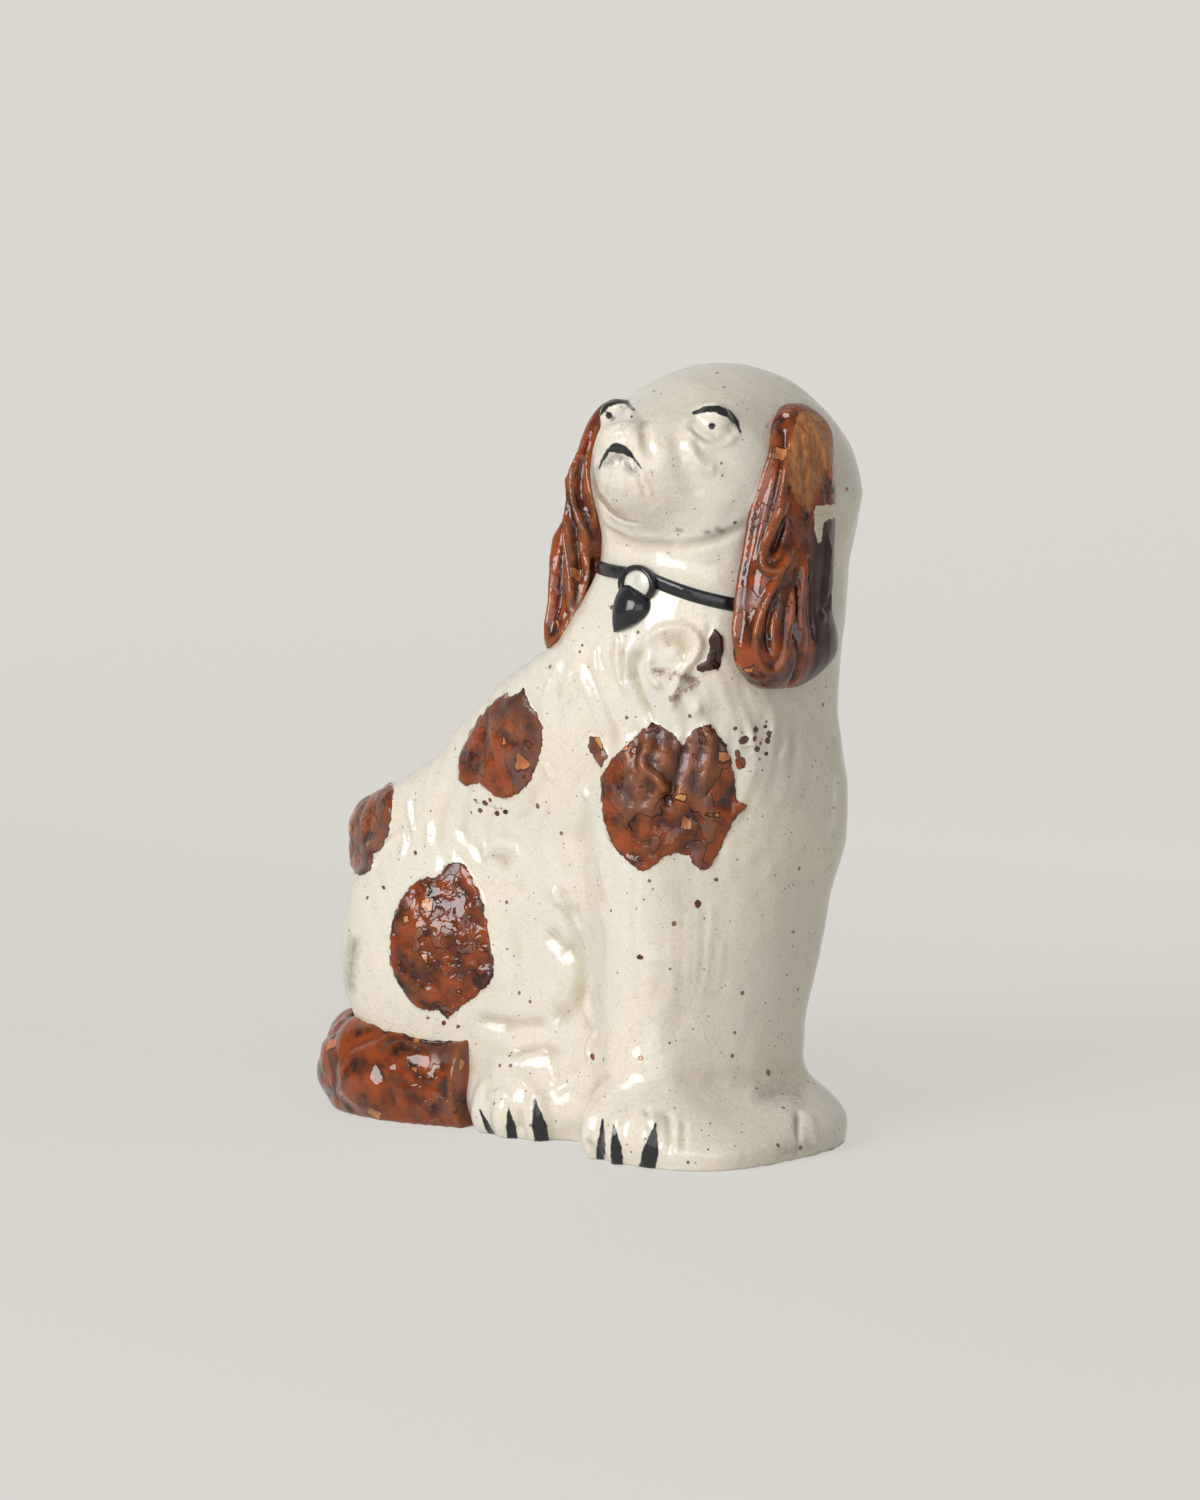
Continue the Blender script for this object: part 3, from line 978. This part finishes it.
def tail_depth(x, y, z):
    """Distance outside the curl, cut square at its tip and by the body."""
    x, y, z = np.broadcast_arrays(x, y, z)
    best = np.full(x.shape, 1e9)
    for point, size in zip(curl, sizes):
        offset = np.hypot(x - point[0], y - point[1])
        here = np.sqrt((offset / size[0]) ** 2 + ((z - tail_lift) / size[1]) ** 2)
        gap = np.sqrt(offset ** 2 + (z - tail_lift) ** 2) * (1 - 1 / np.maximum(here, 1e-4))
        best = np.minimum(best, gap)
    best = np.maximum(best, x - curl[-1][0])
    return np.maximum(np.maximum(best, -z), -(body_depth(x, y, z) + 0.6))


corners, faces = sculpt(tail_depth, [np.arange(-95, -10, 0.95), np.arange(-52, 30, 0.95),
                                     np.arange(-2, 34, 0.95)], 1)
away = outwards_from(tail_depth, corners)
lumps = 1.7 * creased(corners, 19) + 0.15 * creased(corners + 30, 6) + 0.35 * rumpled(corners, 7)
rise = np.clip(corners[:, 2] / 4, 0, 1) * np.clip((-14 - corners[:, 0]) / 3, 0, 1)
corners = within_box(corners + away * ((lumps - 1.4) * rise)[:, None])
glazed_tail = mesh_object("glazed_tail", corners, faces, brown_treacle)
tail_dull = np.interp(corners[:, 0], (-88, -78, -64, -34, -26, -14), (0.1, -0.3, -1.0, -1.0, -0.4, 0.3))
nowhere = np.full(len(corners), 30)
store(glazed_tail.data, thin=nowhere, missed=nowhere, dull=tail_dull, hollow=hollows(glazed_tail.data))
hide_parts("tail")
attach(glazed_tail, "root")

# ---- Collar ------------------------------------------------------------------------------------
# A flat strap across the throat, raised in the mould and painted black: level on one side of the
# locket and falling to a brushed end under the left ear.
collar_height, collar_tilts, collar_width = 166.5, (3.0, 18.0), 4.0
locket_x, collar_ends, strap_rise, strap_depth = 54.0, (22.0, 80.0), 1.4, 2.4

black_enamel, tree, place = start_material("black_enamel")
smear = add(tree, "TexNoise", {"Vector": place, "Scale": per_mm / 2, "Detail": 4.0})
colour = add(tree, "Mix", {0: smear, 6: linear("0C0C0E"), 7: linear("24242A")}, data_type="RGBA")
rough = add(tree, "MapRange", {"Value": smear, "To Min": 0.08, "To Max": 0.22})
bump = add(tree, "Bump", {"Height": smear, "Strength": 0.25, "Distance": 0.0004})
finish_material(tree, colour, rough, bump)


def collar_z(x):
    """Height of the strap's middle line, which runs a little above the locket's middle."""
    tilt = collar_tilts[1] if x > locket_x else collar_tilts[0]
    return collar_height + strap_rise - (x - locket_x) * math.tan(math.radians(tilt))


def front_of_body(x, z):
    """Y of the front of the body at x and z."""
    low, high = -60.0, 0.0
    for _ in range(30):
        middle = (low + high) / 2
        if body_depth(np.array([x]), np.array([middle]), np.array([z]))[0] > 0:
            low = middle
        else:
            high = middle
    return low


path = [Vector((x, front_of_body(x, collar_z(x)), collar_z(x)))
        for x in np.linspace(collar_ends[0], collar_ends[1], 60)]
line = bpy.data.curves.new("collar_line", "CURVE")
line.dimensions = "3D"
spline = line.splines.new("POLY")
spline.points.add(len(path) - 1)
for point, at in zip(spline.points, path):
    point.co = [*((at + bench_shift) / 1000), 1]
    point.radius = min(1.0, 0.25 + 0.12 * (collar_ends[1] - at.x), 0.62 + 0.012 * abs(at.x - locket_x))
strap_source = object_of("collar_line", line)

tree = bpy.data.node_groups.new("collar_strap", "GeometryNodeTree")
tree.interface.new_socket("Line", in_out="INPUT", socket_type="NodeSocketGeometry")
width_in = tree.interface.new_socket("Width", in_out="INPUT", socket_type="NodeSocketFloat")
depth_in = tree.interface.new_socket("Depth", in_out="INPUT", socket_type="NodeSocketFloat")
tree.interface.new_socket("Strap", in_out="OUTPUT", socket_type="NodeSocketGeometry")
given = add(tree, "NodeGroupInput").outputs
upright = add(tree, "GeometryNodeSetCurveNormal", {"Curve": given["Line"]}, mode="Z_UP")
outline = add(tree, "GeometryNodeCurvePrimitiveQuadrilateral",
              {"Width": given["Depth"], "Height": given["Width"]})
rounded = add(tree, "GeometryNodeFilletCurve", {"Curve": outline, "Radius": 0.0011,
              "Count": 4}, mode="POLY")
swept = add(tree, "GeometryNodeCurveToMesh", {"Curve": upright, "Profile Curve": rounded,
            "Fill Caps": True})
real = add(tree, "GeometryNodeRealizeInstances", {0: swept})
painted = add(tree, "GeometryNodeSetMaterial", {"Geometry": real, "Material": black_enamel})
add(tree, "NodeGroupOutput", {0: painted})
sweep = strap_source.modifiers.new("strap", "NODES")
sweep.node_group = tree
sweep[width_in.identifier] = collar_width / 1000
sweep[depth_in.identifier] = strap_depth / 1000
bpy.context.view_layer.update()
strap = bpy.data.meshes.new_from_object(strap_source.evaluated_get(bpy.context.evaluated_depsgraph_get()))
bpy.data.objects.remove(strap_source)
painted_collar = object_of("painted_collar", strap)
smooth(strap)
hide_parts("collar")
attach(painted_collar, "root")

# ---- Locket ------------------------------------------------------------------------------------
# A round boss in the mould: a black rim about a white glazed stone, with a pointed drop below it.
locket_radius, locket_rim, locket_depth = 5.3, 1.6, 2.6
drop_tilt, drop_half_width, drop_length = 30.0, 6.3, 15.5
ring_x, ring_z = locket_x - 1.2, collar_height - 0.9
locket_middle = np.array([ring_x, front_of_body(ring_x, ring_z), ring_z])
turns = 64
ring_turns = np.linspace(0, 2 * np.pi, turns + 1)[:-1]
ring_across, ring_up = 1.28, 1.06  # the ring is an oval


def ring_faces(rings, around, closed=False):
    """Four-sided faces between rings of corners, and back to the first ring when closed."""
    return np.array([[i * around + k, i * around + (k + 1) % around,
                      (i + 1) % rings * around + (k + 1) % around, (i + 1) % rings * around + k]
                     for i in range(rings if closed else rings - 1) for k in range(around)])


def sealed(made):
    """Welds doubled corners, fills open ends and turns every face outwards."""
    shape = bmesh.new()
    shape.from_mesh(made.data)
    bmesh.ops.remove_doubles(shape, verts=shape.verts, dist=1e-6)
    bmesh.ops.holes_fill(shape, edges=[e for e in shape.edges if e.is_boundary])
    bmesh.ops.recalc_face_normals(shape, faces=shape.faces)
    shape.to_mesh(made.data)
    shape.free()
    return made


def turned_form(name, profile, material):
    """Solid turned about the locket's axis: radius and how far forward, from back to front."""
    rings = [np.stack([locket_middle[0] + r * ring_across * np.cos(ring_turns),
                       np.full(turns, locket_middle[1] - f),
                       locket_middle[2] + r * ring_up * np.sin(ring_turns)], 1) for r, f in profile]
    faces = ring_faces(len(rings), turns, closed=profile[0][0] > 0.01)
    return sealed(mesh_object(name, np.vstack(rings), faces, material))


inner = locket_radius - locket_rim
hoop = [(inner + locket_rim / 2 * (1 - math.cos(a)),
         locket_depth / 2 + (locket_depth - 0.3) * 0.6 * math.sin(a))
        for a in np.linspace(-math.pi / 2, 3 * math.pi / 2, 25)[:-1]]
white_glaze, tree, place = start_material("white_tin_glaze")
cloud = add(tree, "TexNoise", {"Vector": place, "Scale": per_mm / 3.5, "Detail": 3.0})
colour = add(tree, "Mix", {0: cloud, 6: linear("9A9A92"), 7: linear("F0ECE0")}, data_type="RGBA")
bump = add(tree, "Bump", {"Height": cloud, "Strength": 0.3, "Distance": 0.0004})
finish_material(tree, colour, 0.12, bump)
rim = turned_form("painted_locket_rim", hoop, black_enamel)
stone_radius = inner + 0.4
dome = [(0.001, -1.5), (stone_radius, -1.5)]
dome += [(stone_radius * math.cos(a), 0.6 + 1.8 * math.sin(a))
         for a in np.linspace(0, math.pi / 2 - 0.01, 12)]
dome += [(0.001, 2.4)]
stone = turned_form("glazed_locket_stone", dome, white_glaze)

drop_rings, drop_count = 28, 40
rows = []
for i in range(drop_rings):
    s = i / (drop_rings - 1)
    swell = max(0.0, math.sin(math.pi * min(s * 1.06 + 0.04, 1) ** 0.62)) ** 0.8
    half = drop_half_width * swell if 0 < s < 1 else 0.01
    for a in np.linspace(0, 2 * np.pi, drop_count, endpoint=False):
        rows.append((half * math.cos(a), -half * 0.62 * math.sin(a), -s * drop_length))
drop_corners = np.array(rows)
lean = math.radians(drop_tilt)
turned_x = drop_corners[:, 0] * math.cos(lean) + drop_corners[:, 2] * math.sin(lean)
turned_z = -drop_corners[:, 0] * math.sin(lean) + drop_corners[:, 2] * math.cos(lean)
drop_corners = np.stack([turned_x, drop_corners[:, 1], turned_z], 1)
drop_corners += locket_middle + (1.2, -0.8, -0.3 * locket_radius)
for k, corner in enumerate(drop_corners):
    drop_corners[k, 1] += front_of_body(corner[0], corner[2]) - locket_middle[1]
drop = sealed(mesh_object("painted_locket_drop", drop_corners, ring_faces(drop_rings, drop_count),
                          black_enamel))
for piece, node, slot in ((rim, "locket_rim", "black_paint"), (stone, "locket_stone", "white_enamel"),
                          (drop, "locket_drop", "black_paint")):
    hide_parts(node)
    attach(piece, "root")

# ---- Vent rim, foot slab and seam strip --------------------------------------------------------
# A ring of slip round the kiln vent, glazed with the body; inside, a slab of bare clay closes the
# foot and a strip of soft clay is pressed along the seam.
slip_glaze, tree, place = start_material("cream_glazed_slip")
colour, tone, peel = glaze_patterns(tree, place)
bump = add(tree, "Bump", {"Height": peel, "Strength": 0.2, "Distance": 0.0004})
finish_material(tree, colour, 0.18, bump)
bare_clay, tree, place = start_material("bare_buff_earthenware")
grain = add(tree, "TexNoise", {"Vector": place, "Scale": per_mm / 1.2, "Detail": 5.0})
stain = add(tree, "TexNoise", {"Vector": place, "Scale": per_mm / 22, "Detail": 3.0})
colour = add(tree, "Mix", {0: grain, 6: linear("B29C78"), 7: linear("D2BF9C")}, data_type="RGBA")
colour = add(tree, "Mix", {0: stain, 6: colour, 7: linear("A08A68")}, data_type="RGBA")
bump = add(tree, "Bump", {"Height": grain, "Strength": 0.5, "Distance": 0.0005})
finish_material(tree, colour, 0.85, bump, 1.5)
for node, material in (("vent_rim", slip_glaze), ("base_slab", bare_clay), ("seam_strip", bare_clay)):
    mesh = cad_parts[node].data
    mesh.materials.clear()
    mesh.materials.append(material)

# ---- Studio ------------------------------------------------------------------------------------
# A pale sweep of paper, soft light from a window before the chest and a weaker one to the right
# of the view, and the camera.
paper, tree, place = start_material("pale_sweep_paper")
shaded = add(tree, "BsdfPrincipled", {"Base Color": linear("D8D5CE"), "Roughness": 0.9,
             "Specular IOR Level": 0.1})
far = add(tree, "SeparateXYZ", {0: place}).outputs["Y"]
far = add(tree, "MapRange", {"Value": far, "From Max": 0.6, "To Min": 1.0, "To Max": 1.13})
even = add(tree, "Emission", {"Color": linear("DDDAD4"), "Strength": far})
rays = add(tree, "LightPath").outputs
seen = add(tree, "Math", (rays["Is Camera Ray"], rays["Is Glossy Ray"]), operation="MAXIMUM")
seen = add(tree, "Math", (seen, rays["Is Transmission Ray"]), operation="MAXIMUM")
seen = add(tree, "Math", (seen, 0.74), operation="MULTIPLY")
pale = add(tree, "MixShader", {0: seen, 1: shaded, 2: even})
add(tree, "OutputMaterial", {"Surface": pale})
sweep_line = [(-3.0, 0.0), (1.2, 0.0)] + [(1.2 + 0.9 * math.sin(a), 0.9 - 0.9 * math.cos(a))
              for a in np.linspace(0, math.pi / 2, 24)[1:]] + [(2.1, 4.0)]
away_x, away_y = -math.sin(view_turn), math.cos(view_turn)
rows = [[(away_x * d + away_y * w, away_y * d - away_x * w, h) for d, h in sweep_line] for w in (-4, 4)]
sweep_mesh = bpy.data.meshes.new("paper_sweep")
count = len(sweep_line)
strips = [[k + 1, k, count + k, count + k + 1] for k in range(count - 1)]
sweep_mesh.from_pydata(rows[0] + rows[1], [], strips)
smooth(sweep_mesh)
sweep_mesh.materials.append(paper)
paper_sweep = object_of("paper_sweep", sweep_mesh)

world = bpy.data.worlds.new("studio")
bpy.context.scene.world = world
world.use_nodes = True
tree = world.node_tree
tree.nodes.clear()
seen = add(tree, "LightPath").outputs["Is Camera Ray"]
around = add(tree, "Background", {"Color": linear("F4F2EE"), "Strength": 0.38})
behind = add(tree, "Background", {"Color": linear("DDDAD4"), "Strength": 1.0})
sky = add(tree, "MixShader", {0: seen, 1: around, 2: behind})
add(tree, "OutputWorld", {"Surface": sky})


def lamp(name, place, size, watts):
    """Soft rectangular lamp that lights the figurine's middle."""
    data = bpy.data.lights.new(name, "AREA")
    data.shape, data.size, data.size_y, data.energy = "RECTANGLE", size[0], size[1], watts
    made = object_of(name, data)
    made.location = place
    made.rotation_euler = (Vector(lit) - Vector(place)).to_track_quat("-Z", "Y").to_euler()


lit = (0.0, 0.0, 0.1)
lamp("window", (-0.14, -1.66, 0.84), (1.0, 1.05), 28)
lamp("fill", (1.2, -1.35, 0.5), (1.4, 1.2), 9)

camera = object_of("camera", bpy.data.cameras.new("camera"))
camera_distance, camera_height, camera_shift = 1.4, 0.26, (-0.0048, -0.0018)
aim = Vector((0.0102, -0.0060, 0.1130))
camera.location = (math.sin(view_turn) * camera_distance + camera_shift[0],
                   -math.cos(view_turn) * camera_distance + camera_shift[1], camera_height)
camera.rotation_euler = (aim - camera.location).to_track_quat("-Z", "Y").to_euler()
camera.data.sensor_fit = "VERTICAL"
camera.data.sensor_height = 36.0
camera.data.lens = 112.8
bpy.context.scene.camera = camera
bpy.context.scene.view_settings.view_transform = "Standard"
